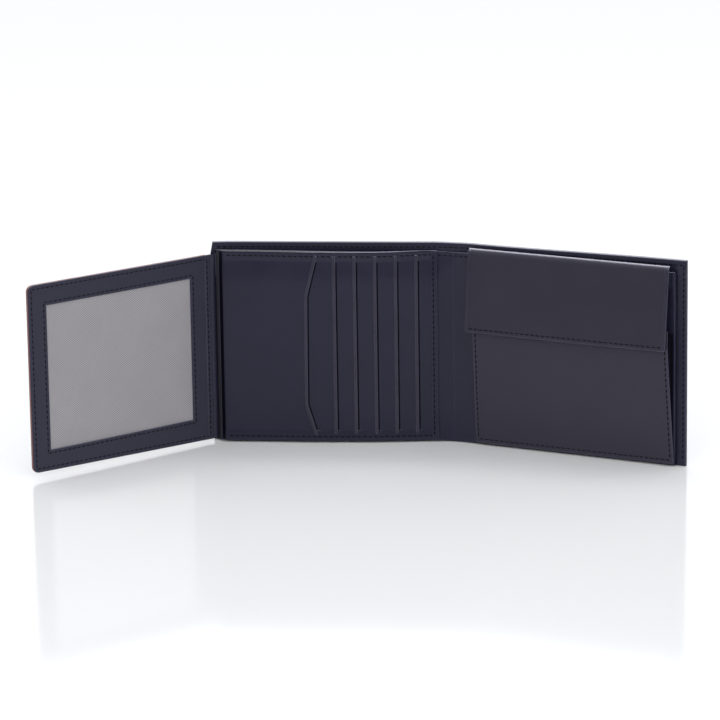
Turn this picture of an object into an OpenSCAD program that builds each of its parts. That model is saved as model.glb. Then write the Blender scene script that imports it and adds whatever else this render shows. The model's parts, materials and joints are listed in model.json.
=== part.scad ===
// Trifold wallet, standing half open on its lower edges.
// A long outer cover of smooth leather folds around a soft spine. A lining
// wall inside it makes the open-topped note compartment. The middle third
// carries six stepped card pockets, the right third a coin pouch with a
// lift-up flap, and a window flap for a large card swings on the left edge.
//
// Frame: X along the middle third, Y away from the reader, Z up, with the
// reader on the -Y side. Bodies: middle (fixed), spine, cover, coin flap and
// window flap. All dimensions are in millimetres.

/* [Outer cover] */
// Height of the outer cover
shell_h = 97; // [85:0.5:110]
// Width of the middle third, from its left edge to the spine crease
middle_w = 105.6; // [90:0.2:120]
// Width of the soft spine between its two creases
spine_w = 15; // [12:0.5:30]
// Width of the front third beyond the spine
cover_w = 107.9; // [90:0.1:120]
// Thickness of the outer leather
shell_t = 1.2; // [0.8:0.1:1.6]
// Width of the turned edge inside the cover
hem_w = 8; // [5:0.5:12]
// Thickness of the turned edge
hem_t = 0.6; // [0.4:0.1:1]

/* [Note compartment] */
// Height of the inner wall
wall_h = 92; // [80:0.5:100]
// Thickness of the inner wall leather
wall_t = 0.6; // [0.4:0.1:1]
// Thickness of the fabric linings
cloth_t = 0.25; // [0.2:0.05:0.4]
// Distance from the outer leather to the front of the inner wall
wall_off = 2.8; // [2.2:0.1:4]
// Height of the sewn seam along the bottom
seam_h = 2; // [1:0.5:4]

/* [Card pockets] */
// Number of straight slot edges right of the front pocket
slots = 5; // [3:1:6]
// Right edge of the slot nearest the spine
last_slot = 95; // [85:0.5:100]
// Step from one slot edge to the next
slot_step = 9.6; // [8:0.1:11]
// Thickness of one pocket layer
layer_t = 0.4; // [0.3:0.05:0.5]
// Width of the leather strip that edges each slot
strip_w = 18; // [12:0.5:24]
// Edge of the front pocket at its upper and lower ends
front_x = 47.2; // [40:0.2:54]
// Depth of the thumb cut-out in the front pocket
thumb_d = 4.4; // [2:0.2:10]

/* [Coin pouch] */
// Left edge of the pouch, from the spine crease
pouch_x = 4.1; // [3.5:0.1:10]
// Width of the pouch
pouch_w = 99.8; // [80:0.2:105]
// Height of the pouch mouth
pouch_h = 70; // [55:0.5:80]
// Lean of the pouch front from the wall, in degrees
pouch_lean = 1.3; // [0.6:0.1:2]
// Left edge of the flap, from the spine crease
flap_x = 1.4; // [1.3:0.1:6]
// Width of the flap
flap_w = 101; // [80:0.5:105]
// Height of the lower edge of the flap
flap_low = 55.5; // [45:0.5:65]
// Thickness of the flap leather
flap_t = 0.7; // [0.5:0.1:1]
// Diameter of the hidden magnets
magnet_d = 10; // [8:0.5:14]

/* [Window flap] */
// Length of the window flap from its hinge line
id_len = 102; // [90:0.5:110]
// Height of the lower and of the upper edge of the window flap
id_low = 2; // [1:0.5:4]
id_top = 91.4; // [80:0.2:95]
// Window size, along the flap and in height
win_w = 80.3; // [60:0.1:86]
win_h = 68.4; // [50:0.1:74]
// Distance from the hinge line to the window
win_x = 11.9; // [8:0.1:20]
// Thickness of each leather face of the flap
id_t = 0.6; // [0.4:0.1:0.8]

/* [Rest pose] */
// Turn of the spine from flat
spine_turn = 10.6; // [0:0.1:20]
// Turn of the cover from flat
cover_turn = 21.2; // [0:0.1:40]
// Turn of the window flap from flat
id_turn = 41.7; // [0:0.1:60]

/* [Hidden] */
$fn = 48;
slack = 0.3;                         // gap left at each side of a crease
axis_off = 0.5;                      // crease axis in front of the leather
crease_x = middle_w - 1;             // spine crease of the middle third
left_x = -1;                         // left edge of the outer leather
shell_y = 3.4;                       // inner face of the outer leather
crease_y = shell_y - axis_off;
wall_y = shell_y - wall_off;         // front face of the inner wall
stack_x0 = 0.6;                      // left edge of the pocket stack
stack_x1 = crease_x - 0.2;           // right edge of the pocket stack
stack_z0 = 1;
stack_z1 = wall_h - 0.8;
backing_t = wall_y;                  // pocket backing fills wall to y = 0
binding_t = 0.4;
binding_h = 3.6;
hinge_x = -1.2;                      // vertical hinge line of the window flap
hinge_y = -2.39;
id_face = 0.91;                      // window face behind the hinge line
id_gap = 0.6;                        // card space inside the window flap
wall_n = wall_off;                   // front of the inner wall on the cover
pouch_n = wall_n + 0.3;              // back of the pouch front at its foot
flap_axis_n = 3.4;
flap_axis_z = 93.6;
flap_n = 6.9;                        // outer face of the flap at its top
flap_drop = 0.2;                     // extra stand-off at its lower edge
tongue_t = 0.5;
magnet_t = 0.8;
magnet_z = 63;
magnet_x = flap_x + flap_w / 2;
flap_top_z = flap_axis_z - 1.6;      // where the round top meets the front
flap_r = 2.2;                        // outer radius of the flap's round top
magnet_face = flap_n + flap_drop
  * (flap_top_z - magnet_z) / (flap_top_z - flap_low);

// Middle of the outline in plan, used as the origin.
id_back_t = id_face + 2 * id_t + id_gap;
low_x = hinge_x - id_len * cos(id_turn) - id_back_t * sin(id_turn);
low_y = hinge_y - id_len * sin(id_turn) + id_face * cos(id_turn);
high_x = crease_x + spine_w * cos(spine_turn) + cover_w * cos(cover_turn)
  + (axis_off + shell_t) * sin(cover_turn);
high_y = shell_y + shell_t;
mid_x = (low_x + high_x) / 2;
mid_y = (low_y + high_y) / 2;

leather = [0.13, 0.13, 0.15];
leather_light = [0.2, 0.2, 0.22];
cloth = [0.08, 0.08, 0.09];
mesh_grey = [0.5, 0.5, 0.5];
steel = [0.7, 0.7, 0.72];

// A box given by its low and high corners.
module slab(lo, hi) {
  translate(lo)
    cube(hi - lo);
}

// Every piece is drawn from the left end of the middle third, then moved so
// that the origin is under the middle of the standing wallet.
module home() {
  translate([-mid_x, -mid_y, 0])
    children();
}

module middle_slab(lo, hi)
  home()
    slab(lo, hi);

// Local frames: x along the third, y towards the outside, z up, with y = 0
// on the inner face of the outer leather.
module on_spine() {
  home() translate([crease_x, crease_y, 0])
    rotate([0, 0, -spine_turn])
      translate([0, axis_off, 0])
        children();
}

module on_cover() {
  home()
    translate([crease_x + spine_w * cos(spine_turn),
               crease_y - spine_w * sin(spine_turn), 0])
    rotate([0, 0, -cover_turn])
      translate([0, axis_off, 0])
        children();
}

// Window flap frame: x from the hinge line along the flap, y towards its
// back, z up. The flap points to the left and towards the reader.
module on_id() {
  home() translate([hinge_x, hinge_y, 0])
    rotate([0, 0, id_turn])
      mirror([1, 0, 0])
        children();
}

// Right edge of slot k, counted from the spine, and front of its layer.
function slot_x(k) = last_slot - slot_step * (k - 1);
function layer_y(k) = -layer_t * k;

// Points of the stepped front of the pocket stack, moved forward by d.
function stairs(d) = concat(
  [[stack_x0, layer_y(slots + 1) - d]],
  [for (k = [slots + 1:-1:1]) for (e = [0, 1])
    [(k > slots ? front_x : slot_x(k)) + d,
     layer_y(e == 0 ? k : k - 1) - d]]
);

/* ---- middle third ---- */

module shell_centre()
  color(leather)
    middle_slab([left_x, shell_y, 0], [crease_x - slack, shell_y + shell_t, shell_h]);

module shell_hem_centre()
  color(leather_light) {
    middle_slab([left_x, shell_y - hem_t, shell_h - hem_w],
         [crease_x - slack, shell_y, shell_h]);
  }

module shell_lining_centre()
  color(cloth)
    middle_slab([left_x + 2, shell_y - cloth_t, seam_h],
         [crease_x - slack, shell_y, shell_h - hem_w]);

module bill_wall_centre()
  color(leather)
    middle_slab([left_x + 0.4, wall_y, stack_z0],
         [stack_x1, wall_y + wall_t, wall_h]);

module bill_wall_lining_centre()
  color(cloth)
    middle_slab([left_x + 2, wall_y + wall_t, seam_h],
         [stack_x1, wall_y + wall_t + cloth_t, wall_h - 1]);

module seam_bottom_centre()
  color(leather)
    middle_slab([left_x + 0.4, wall_y + wall_t, 0.4],
         [crease_x - slack, shell_y, seam_h]);

module seam_left()
  color(leather)
    middle_slab([left_x + 0.4, wall_y + wall_t, seam_h],
         [left_x + 2, shell_y - hem_t, wall_h - 1]);

module pocket_backing()
  color(leather)
    middle_slab([stack_x0, wall_y - backing_t, stack_z0],
         [stack_x1, wall_y, stack_z1]);

// Leather strip that edges slot k.
module slot_strip(k)
  color(leather)
    middle_slab([slot_x(k) - strip_w, layer_y(k), stack_z0],
         [slot_x(k), layer_y(k - 1), stack_z1]);

// Fabric sheet that carries strip k and makes the rest of its pocket.
module pocket_sheet(k)
  color(cloth)
    middle_slab([stack_x0, layer_y(k), stack_z0],
         [slot_x(k) - strip_w, layer_y(k - 1), stack_z1]);

module slot_strip_1() slot_strip(1);
module slot_strip_2() slot_strip(2);
module slot_strip_3() slot_strip(3);
module slot_strip_4() slot_strip(4);
module slot_strip_5() slot_strip(5);
module pocket_sheet_1() pocket_sheet(1);
module pocket_sheet_2() pocket_sheet(2);
module pocket_sheet_3() pocket_sheet(3);
module pocket_sheet_4() pocket_sheet(4);
module pocket_sheet_5() pocket_sheet(5);

// Front pocket with a shallow thumb cut-out in its right edge.
module front_pocket() {
  ramp = 9;
  low = 12;
  color(leather)
    home()
      translate([0, layer_y(slots), 0])
      rotate([90, 0, 0])
        linear_extrude(layer_t)
          polygon([
            [stack_x0, stack_z0],
            [front_x, stack_z0],
            [front_x, stack_z0 + low - ramp / 2],
            [front_x - thumb_d, stack_z0 + low + ramp],
            [front_x - thumb_d, stack_z1 - low - ramp],
            [front_x, stack_z1 - low + ramp / 2],
            [front_x, stack_z1],
            [stack_x0, stack_z1]
          ]);
}

// Sewn edge strip that follows the stepped pockets at one height.
module stair_strip(z0, z1)
  home()
  translate([0, 0, z0])
    linear_extrude(z1 - z0)
      polygon(concat(
        stairs(binding_t),
        [[stack_x1, -binding_t], [stack_x1, 0]],
        [for (p = [len(stairs(0)) - 1:-1:0]) stairs(0)[p]]
      ));

module pocket_top_binding()
  color(leather)
    stair_strip(stack_z1 - binding_h, stack_z1);

module pocket_bottom_binding()
  color(leather)
    stair_strip(stack_z0, stack_z0 + binding_h);

module pocket_edge_binding()
  color(leather)
    middle_slab([stack_x1 - 3, -binding_t, stack_z0 + binding_h],
         [stack_x1, 0, stack_z1 - binding_h]);

// Leather lug between the inner wall and the hinge line.
module id_hinge_anchor()
  color(leather)
    middle_slab([left_x + 0.4, hinge_y + 0.5, id_low],
         [stack_x0, wall_y, id_top - 0.6]);

/* ---- spine ---- */

module spine_slab(x0, x1, n0, n1, z0, z1)
  on_spine()
    slab([x0, -n1, z0], [x1, -n0, z1]);

module shell_spine()
  color(leather)
    spine_slab(slack, spine_w - slack, -shell_t, 0, 0, shell_h);

module shell_hem_spine()
  color(leather_light)
    spine_slab(slack, spine_w - slack, 0, hem_t, shell_h - hem_w, shell_h);

module shell_lining_spine()
  color(cloth)
    spine_slab(slack, spine_w - slack, 0, cloth_t, seam_h, shell_h - hem_w);

module bill_wall_spine()
  color(leather)
    spine_slab(3.7, spine_w - 3.7, 0.8, 0.8 + wall_t, stack_z0, wall_h);

module bill_wall_lining_spine()
  color(cloth)
    spine_slab(3.7, spine_w - 3.7, 0.8 - cloth_t, 0.8, seam_h, shell_h - hem_w);

module seam_bottom_spine()
  color(leather)
    spine_slab(3.7, spine_w - 3.7, 0, 0.8, 0.4, seam_h);

/* ---- cover with the coin pouch ---- */

module cover_slab(x0, x1, n0, n1, z0, z1)
  on_cover()
    slab([x0, -n1, z0], [x1, -n0, z1]);

module shell_cover()
  color(leather)
    cover_slab(slack, cover_w, -shell_t, 0, 0, shell_h);

module shell_hem_cover()
  color(leather_light) {
    cover_slab(slack, cover_w, 0, hem_t, shell_h - hem_w, shell_h);
    cover_slab(cover_w - 2.6, cover_w, 0, hem_t, seam_h, shell_h - hem_w);
  }

module shell_lining_cover()
  color(cloth)
    cover_slab(slack, cover_w - 2.6, 0, cloth_t, seam_h, shell_h - hem_w);

module bill_wall_cover()
  color(leather)
    cover_slab(slack, cover_w - 2.4, wall_n - wall_t, wall_n,
               stack_z0, wall_h);

module bill_wall_lining_cover()
  color(cloth)
    cover_slab(slack, cover_w - 4.4, wall_n - wall_t - cloth_t,
               wall_n - wall_t, seam_h, wall_h - 1);

module seam_bottom_cover()
  color(leather)
    cover_slab(slack, cover_w - 2.4, 0, wall_n - wall_t, 0.4, seam_h);

module seam_right()
  color(leather)
    cover_slab(cover_w - 4.4, cover_w - 2.4, hem_t, wall_n - wall_t,
               seam_h, wall_h - 1);

// Sloped front of the pouch: a sheet from n0 to n1 in its own thickness.
module leaning_sheet(x0, x1, n0, n1, z1)
  on_cover()
    translate([0, -pouch_n, stack_z0 + 1.5])
      rotate([pouch_lean, 0, 0])
        slab([x0, -n1, 0], [x1, -n0, z1 - stack_z0 - 1.5]);

module pouch_front()
  color(leather_light)
    leaning_sheet(pouch_x, pouch_x + pouch_w, 0.2, 0.9, pouch_h);

module pouch_front_lining()
  color(cloth)
    difference() {
      leaning_sheet(pouch_x + 2, pouch_x + pouch_w - 2, 0, 0.2,
                    pouch_h - 0.5);
      magnet_at(magnet_d + 0.2, -2, 0.4);
    }

// A disc in the leaning sheet, from n0 to n1 in its thickness.
module magnet_at(d, n0, n1)
  on_cover()
    translate([0, -pouch_n, stack_z0 + 1.5])
      rotate([pouch_lean, 0, 0])
        translate([magnet_x, -n0, magnet_z - stack_z0 - 1.5])
          rotate([90, 0, 0])
            cylinder(d = d, h = n1 - n0, $fn = 64);

module pouch_magnet()
  color(steel)
    magnet_at(magnet_d, 0.2 - magnet_t, 0.2);

// Back of the front leather at a height.
function front_back(z) =
  pouch_n + 0.19 + (z - stack_z0 - 1.5) * tan(pouch_lean);

// Side gusset: the wedge between the wall and the leaning front.
module gusset(x0, x1)
  on_cover()
    translate([x0, 0, 0])
      rotate([90, 0, 90])
        linear_extrude(x1 - x0)
          polygon([
            [-wall_n, stack_z0 + 2.5],
            [-wall_n, pouch_h - 1],
            [-front_back(pouch_h - 1), pouch_h - 1],
            [-front_back(stack_z0 + 2.5), stack_z0 + 2.5]
          ]);

module pouch_gusset_left()
  color(cloth)
    gusset(pouch_x + 0.4, pouch_x + 1.6);

module pouch_gusset_right()
  color(cloth)
    gusset(pouch_x + pouch_w - 1.6, pouch_x + pouch_w - 0.4);

module pouch_bottom_seam()
  color(leather)
    cover_slab(pouch_x, pouch_x + pouch_w, wall_n, pouch_n + 0.7,
               stack_z0, stack_z0 + 1.47);

// Sewn tongue of the flap on the front of the wall, up to the flap hinge.
module flap_tongue()
  color(leather)
    cover_slab(flap_x, flap_x + flap_w, wall_n, wall_n + tongue_t,
               stack_z1 - 7, flap_axis_z - 0.6);

/* ---- coin flap ---- */

// Side profile of the flap between two depths below its outer face.
function flap_profile(d0, d1) = concat(
  [[flap_axis_n, flap_top_z + flap_r - d0]],
  [for (a = [90:-15:0])
    [flap_n - flap_r + (flap_r - d0) * cos(a),
     flap_top_z + (flap_r - d0) * sin(a)]],
  [[flap_n + flap_drop - d0, flap_low]],
  [[flap_n + flap_drop - d1, flap_low]],
  [for (a = [0:15:90])
    [flap_n - flap_r + (flap_r - d1) * cos(a),
     flap_top_z + (flap_r - d1) * sin(a)]],
  [[flap_axis_n, flap_top_z + flap_r - d1]]
);

module flap_sheet(d0, d1, inset)
  on_cover()
    translate([flap_x + inset, 0, 0])
      rotate([90, 0, 90])
        linear_extrude(flap_w - 2 * inset)
          polygon([for (p = flap_profile(d0, d1)) [-p[0], p[1]]]);

module flap_leather()
  color(leather_light)
    flap_sheet(0, flap_t, 0);

module flap_lining()
  color(cloth)
    difference() {
      flap_sheet(flap_t, flap_t + 0.3, 0);
      flap_disc(magnet_d, flap_t - 0.2, flap_t + 1);
    }

// A disc in the flap, from n0 to n1 below its outer face.
module flap_disc(d, n0, n1)
  on_cover()
    translate([magnet_x, -(magnet_face - n0), magnet_z])
      rotate([-90, 0, 0])
        cylinder(d = d, h = n1 - n0, $fn = 64);

module flap_magnet()
  color(steel)
    flap_disc(magnet_d - 0.4, flap_t + 0.03, flap_t + 0.5);

/* ---- window flap ---- */

// Outline of the flap with rounded outer corners.
module id_outline(x0, grow) {
  r = 3;
  x1 = id_len + grow;
  polygon(concat(
    [[x0, id_low - grow], [x0, id_top + grow]],
    [for (a = [90:-15:0])
      [x1 - r + r * cos(a), id_top + grow - r + r * sin(a)]],
    [for (a = [0:-15:-90])
      [x1 - r + r * cos(a), id_low - grow + r + r * sin(a)]]
  ));
}

// A sheet of the flap from depth t0 to t1 behind its window face.
module id_sheet(t0, t1)
  on_id()
    translate([0, id_face + t1, 0])
      rotate([90, 0, 0])
        linear_extrude(t1 - t0)
          children();

module window_hole(grow) {
  z0 = (id_low + id_top) / 2 - win_h / 2 + 0.2;
  translate([win_x - grow, z0 - grow])
    square([win_w + 2 * grow, win_h + 2 * grow]);
}

module id_frame()
  color(leather)
    id_sheet(0, id_t)
      difference() {
        id_outline(2.4, 0);
        window_hole(0);
      }

module id_mesh()
  color(mesh_grey)
    id_sheet(id_t, id_t + 0.2)
      window_hole(4);

module id_seam()
  color(leather)
    id_sheet(id_t, id_t + id_gap)
      difference() {
        id_outline(5, 0);
        translate([0, id_low + 3])
          square([id_len - 3, id_top - id_low - 6]);
      }

module id_back()
  color(leather)
    id_sheet(id_t + id_gap, 2 * id_t + id_gap)
      id_outline(2.4, 0);

// Hinge strip between the two faces, reaching towards the hinge line.
module id_hinge_strip()
  color(leather)
    id_sheet(id_t + 0.1, id_t + id_gap - 0.1)
      translate([1, id_low + 0.6])
        square([3.6, id_top - id_low - 1.2]);

shell_centre();
shell_hem_centre();
shell_lining_centre();
bill_wall_centre();
bill_wall_lining_centre();
seam_bottom_centre();
seam_left();
pocket_backing();
slot_strip_1();
slot_strip_2();
slot_strip_3();
slot_strip_4();
slot_strip_5();
pocket_sheet_1();
pocket_sheet_2();
pocket_sheet_3();
pocket_sheet_4();
pocket_sheet_5();
front_pocket();
pocket_top_binding();
pocket_bottom_binding();
pocket_edge_binding();
id_hinge_anchor();
shell_spine();
shell_hem_spine();
shell_lining_spine();
bill_wall_spine();
bill_wall_lining_spine();
seam_bottom_spine();
shell_cover();
shell_hem_cover();
shell_lining_cover();
bill_wall_cover();
bill_wall_lining_cover();
seam_bottom_cover();
seam_right();
pouch_front();
pouch_front_lining();
pouch_gusset_left();
pouch_gusset_right();
pouch_bottom_seam();
pouch_magnet();
flap_tongue();
flap_leather();
flap_lining();
flap_magnet();
id_frame();
id_mesh();
id_back();
id_seam();
id_hinge_strip();
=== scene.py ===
"""Looks of the trifold wallet: leather, linings, threads, mesh window, studio."""
import json
import math

import bmesh
import bpy
from mathutils import Matrix, Vector


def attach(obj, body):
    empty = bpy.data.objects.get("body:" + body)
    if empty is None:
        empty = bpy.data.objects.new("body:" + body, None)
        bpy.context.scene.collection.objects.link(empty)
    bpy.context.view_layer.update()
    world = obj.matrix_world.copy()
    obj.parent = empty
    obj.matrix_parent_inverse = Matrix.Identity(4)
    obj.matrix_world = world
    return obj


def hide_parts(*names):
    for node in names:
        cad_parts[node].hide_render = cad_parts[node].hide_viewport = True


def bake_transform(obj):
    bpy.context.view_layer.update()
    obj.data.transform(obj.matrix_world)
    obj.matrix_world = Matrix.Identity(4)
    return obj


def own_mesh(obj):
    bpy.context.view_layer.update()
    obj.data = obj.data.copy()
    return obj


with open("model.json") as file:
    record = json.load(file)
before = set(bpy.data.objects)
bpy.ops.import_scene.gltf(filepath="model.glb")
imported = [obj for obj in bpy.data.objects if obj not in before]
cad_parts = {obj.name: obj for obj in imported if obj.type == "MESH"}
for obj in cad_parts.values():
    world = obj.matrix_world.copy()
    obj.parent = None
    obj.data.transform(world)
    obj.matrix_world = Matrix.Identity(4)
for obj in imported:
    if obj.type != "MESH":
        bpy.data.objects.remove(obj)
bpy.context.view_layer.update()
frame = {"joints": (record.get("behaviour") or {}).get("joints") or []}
MM = 0.001

# ---------------------------------------------------------------- places
JOINTS = {j["name"]: j for j in frame["joints"]}
CREASE_X, CREASE_Y = 104.6, 2.9  # spine crease, in the middle third's own lengths
SPINE_W = 15.0
MIDDLE_END = CREASE_X + SPINE_W / 2  # half way over the spine
COVER_X = CREASE_X + SPINE_W  # cover crease, with the wallet laid flat
COVER_W = 107.9
SPINE_TURN = math.radians(-10.6)
BEND = 7.0  # how far each side of a crease the leather bends
WALL_F, WALL_B = 0.6, 1.2  # front and back face of the inner wall
WALL_N = 2.8  # the same front face, from the inner face of the cover
FINE = 2.6  # up-and-down step that follows the lean at the top


def joint_at(name):
    return Vector(JOINTS[name]["pos_m"])


def place(origin, along, back, shift=(0.0, 0.0)):
    """From a third's own millimetres (along, back, up) to the shared frame."""
    along, back = Vector(along).normalized(), Vector(back).normalized()
    turned = Matrix((
        (along.x * MM, back.x * MM, 0, origin.x),
        (along.y * MM, back.y * MM, 0, origin.y),
        (0, 0, MM, 0),
        (0, 0, 0, 1),
    ))
    return turned @ Matrix.Translation((shift[0], shift[1], 0))


flap_axis = Vector(JOINTS["coin_flap_hinge"]["axis"])
cover_along = -flap_axis.normalized()
cover_back = Vector((-cover_along.y, cover_along.x, 0))
window_turn = math.radians(JOINTS["window_flap_hinge"]["range_deg"][0])
window_along = Vector((-math.cos(window_turn), math.sin(window_turn), 0))
window_back = Vector((math.sin(window_turn), math.cos(window_turn), 0))

MIDDLE = place(joint_at("spine_fold"), (1, 0, 0), (0, 1, 0), (-CREASE_X, -CREASE_Y))
COVER = place(joint_at("cover_fold"), cover_along, cover_back, (0, 0.5))
WINDOW = place(joint_at("window_flap_hinge"), window_along, window_back)


def smooth(t):
    t = min(1.0, max(0.0, t))
    return t * t * (3 - 2 * t)


def turn(x, y, about_x, angle):
    dx, dy = x - about_x, y - CREASE_Y
    c, s = math.cos(angle), math.sin(angle)
    return about_x + dx * c - dy * s, CREASE_Y + dx * s + dy * c


def laid(co):
    """Bends a point of the flat-laid wallet round its two creases."""
    x, y, z = co
    if x > MIDDLE_END:
        share = smooth((x - COVER_X + BEND) / (2 * BEND))
        x, y = turn(x, y, COVER_X, SPINE_TURN * share)
        x, y = turn(x, y, CREASE_X, SPINE_TURN)
    else:
        share = smooth((x - CREASE_X + BEND) / (2 * BEND))
        x, y = turn(x, y, CREASE_X, SPINE_TURN * share)
    return Vector((x, y, z))


BULGE_PEAK, BULGE_END = 74.0, 104.0
LEAN_START, LEAN = 78.0, 1.3


def bulge(x, z):
    """How far the filled card pockets push forward."""
    if not 0 < x < BULGE_END:
        return 0.0
    t = x / BULGE_PEAK / 2 if x < BULGE_PEAK else (
        0.5 + (x - BULGE_PEAK) / (BULGE_END - BULGE_PEAK) / 2)
    return (0.5 - 0.5 * math.cos(2 * math.pi * t)) * (1.3 + 1.1 * z / 91.0)


def lean(z):
    """The inner leather leans back a little where it is stitched at the top."""
    return LEAN * smooth((z - LEAN_START) / 13)


def drop(x, z):
    """How far the upper edge sinks where the pockets push forward."""
    return bulge(x, z) * 0.12 * smooth((z - 70) / 20)


def pushed(co):
    """Wall and pocket stack of the middle third."""
    x, y, z = co
    return Vector((x, y - bulge(x, z) + lean(z), z - drop(x, z)))


VALLEY_START, VALLEY_W = 0.6, 3.4


def stacked(co):
    """The same, dipping into the valley beside the window flap's hinge."""
    x, y, z = co
    thinned = 0.82 * (1 - smooth((x - VALLEY_START) / VALLEY_W))
    return pushed((x, WALL_F - (WALL_F - y) * (1 - thinned), z))


MOUTH_Z = 55.5  # below the pouch's upper edge, where its front starts to lean back


def pouch_depth(u, z):
    """Outer face of the pouch front, from the inner face of the cover."""
    t = min(1.0, max(0.0, (z - 2.5) / 53.0))
    across = math.sin(math.pi * min(1, max(0, (u - 4.1) / 99.8)))
    belly = 0.6 * across * math.sin(math.pi * t)
    return 3.75 + 3.7 * t ** 0.9 + belly - 0.09 * max(0.0, z - MOUTH_Z)


def taller(u):
    """The cover's third grows a little in height towards its free end."""
    return 1.0 + 0.013 * smooth(u / 108)


def swollen(co):
    """Pouch front: y is the depth behind its outer face."""
    x, y, z = co
    pull = 2.0 * smooth((x - 88) / 16) * z / 60
    return Vector((x - pull, y - pouch_depth(x, z), z * taller(x)))


# Coin flap: z runs up the leather from its lower edge, over the top, to the hinge.
FLAP_LOW = (9.8, 55.8)  # lower edge of its outer face, as (out, up)
FLAP_TOP = (4.9, 92.7)  # where the round top starts
FLAP_R = 3.2
FLAP_STRAIGHT = math.dist(FLAP_LOW, FLAP_TOP)
FLAP_LEAN = math.atan2(FLAP_LOW[0] - FLAP_TOP[0], FLAP_TOP[1] - FLAP_LOW[1])
FLAP_ARC = math.radians(58) - FLAP_LEAN
FLAP_END = FLAP_STRAIGHT + FLAP_ARC * FLAP_R


def flap_point(s):
    """Place and outward direction of the flap's outer face, as (out, up)."""
    a = FLAP_LEAN
    if s <= FLAP_STRAIGHT:
        t = s / FLAP_STRAIGHT
        p = (FLAP_LOW[0] + (FLAP_TOP[0] - FLAP_LOW[0]) * t,
             FLAP_LOW[1] + (FLAP_TOP[1] - FLAP_LOW[1]) * t)
        return p, (math.cos(a), math.sin(a))
    mid = (FLAP_TOP[0] - FLAP_R * math.cos(a), FLAP_TOP[1] - FLAP_R * math.sin(a))
    a += min(FLAP_ARC, (s - FLAP_STRAIGHT) / FLAP_R)
    out = (math.cos(a), math.sin(a))
    rest = max(0.0, s - FLAP_END)
    return (mid[0] + FLAP_R * out[0] - out[1] * rest,
            mid[1] + FLAP_R * out[1] + out[0] * rest), out


def folded(co):
    """The coin flap, laid over the top; it crowns a little across its width."""
    x, y, s = co
    (n, z), (on, oz) = flap_point(s)
    across = math.sin(math.pi * min(1, max(0, (x - 1.4) / 101)))
    n += 0.35 * across * smooth((FLAP_STRAIGHT - s) / 20)
    return Vector((x, -(n - y * on), z - y * oz))


# ---------------------------------------------------------------- finishes
class Value:
    """A number that varies over a surface."""

    def __init__(self, finish, socket):
        self.finish, self.socket = finish, socket

    def math(self, operation, first, second):
        node = self.finish.tree.nodes.new("ShaderNodeMath")
        node.operation = operation
        for slot, value in zip(node.inputs, (first, second)):
            if isinstance(value, Value):
                self.finish.tree.links.new(value.socket, slot)
            else:
                slot.default_value = value
        return Value(self.finish, node.outputs[0])

    def __add__(self, other):
        return self.math("ADD", self, other)

    __radd__ = __add__

    def __mul__(self, other):
        return self.math("MULTIPLY", self, other)

    __rmul__ = __mul__

    def __sub__(self, other):
        return self.math("SUBTRACT", self, other)

    def __rsub__(self, other):
        return self.math("SUBTRACT", other, self)

    def above(self, other):
        return self.math("MAXIMUM", self, other)


class Finish:
    """A material, and the node maker that its recipe is written with. A socket is
    given by its name, with _ for a space, or by its number, as i0, i1 and so on."""

    def __init__(self, name, **constants):
        self.material = bpy.data.materials.new(name)
        self.material.use_nodes = True
        self.tree = self.material.node_tree
        self.shader = next(n for n in self.tree.nodes if n.type == "BSDF_PRINCIPLED")
        for socket, value in constants.items():
            self.shader.inputs[socket.replace("_", " ")].default_value = value

    def node(self, kind, settings=None, output=0, **sockets):
        node = self.tree.nodes.new("ShaderNode" + kind)
        for key, value in (settings or {}).items():
            setattr(node, key, value)
        for key, value in sockets.items():
            numbered = key[0] == "i" and key[1:].isdigit()
            slot = node.inputs[int(key[1:]) if numbered else key.replace("_", " ")]
            if isinstance(value, Value):
                self.tree.links.new(value.socket, slot)
            else:
                slot.default_value = value
        return Value(self, node.outputs[output])

    def coordinates(self, turned=0.0):
        """The piece's own metres, turned to lie along its third of the wallet."""
        here = self.node("TexCoord", output="Object")
        if turned:
            here = self.node("Mapping", Vector=here, Rotation=(0, 0, -turned))
        return here

    def noise(self, scale, detail=2.0, rough=0.5, at=None):
        return self.node("TexNoise", Vector=at or self.coordinates(), Scale=scale,
                         Detail=detail, Roughness=rough)

    def mix(self, share, first, second):
        settings = {"data_type": "RGBA"}
        return self.node("Mix", settings, output=2, i0=share, i6=first, i7=second)

    def feed(self, **sockets):
        for key, value in sockets.items():
            self.tree.links.new(value.socket, self.shader.inputs[key.replace("_", " ")])

    def bump(self, height, strength, distance):
        self.feed(Normal=self.node("Bump", Strength=strength, Distance=distance,
                                   Height=height))


def leather(name, tone, shade, rough, grain=0.25, shine=0.40):
    """Smooth calf leather: fine pores, faint mottling, burnished edges."""
    f = Finish(name, IOR=1.47, Specular_IOR_Level=shine,
               Specular_Tint=(0.85, 0.84, 1.0, 1))
    at = f.coordinates()
    mottle = f.noise(55, 3, 0.6, at)
    pores = f.node("TexVoronoi", {"feature": "F1"}, Vector=at, Scale=2600.0)
    fine = f.noise(5200, 2, 0.6, at)
    rim = f.node("Attribute", {"attribute_name": "rim"}, output="Fac")
    body = f.mix(mottle, shade, tone)
    worn = tuple(c * 1.9 for c in tone[:3]) + (1,)
    f.feed(Base_Color=f.mix(rim * (0.3 + 0.5 * mottle), body, worn),
           Roughness=rough + (mottle - 0.5) * 0.10 + (fine - 0.5) * 0.08 - rim * 0.05)
    f.bump(pores * 0.6 + fine * 0.6 + f.noise(420, 3, 0.6, at) * 0.9, grain, 0.00004)
    return f.material


WEAVE_PITCH, NET_PITCH = 0.45, 1.1  # from one yarn, or strand, to the next


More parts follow.
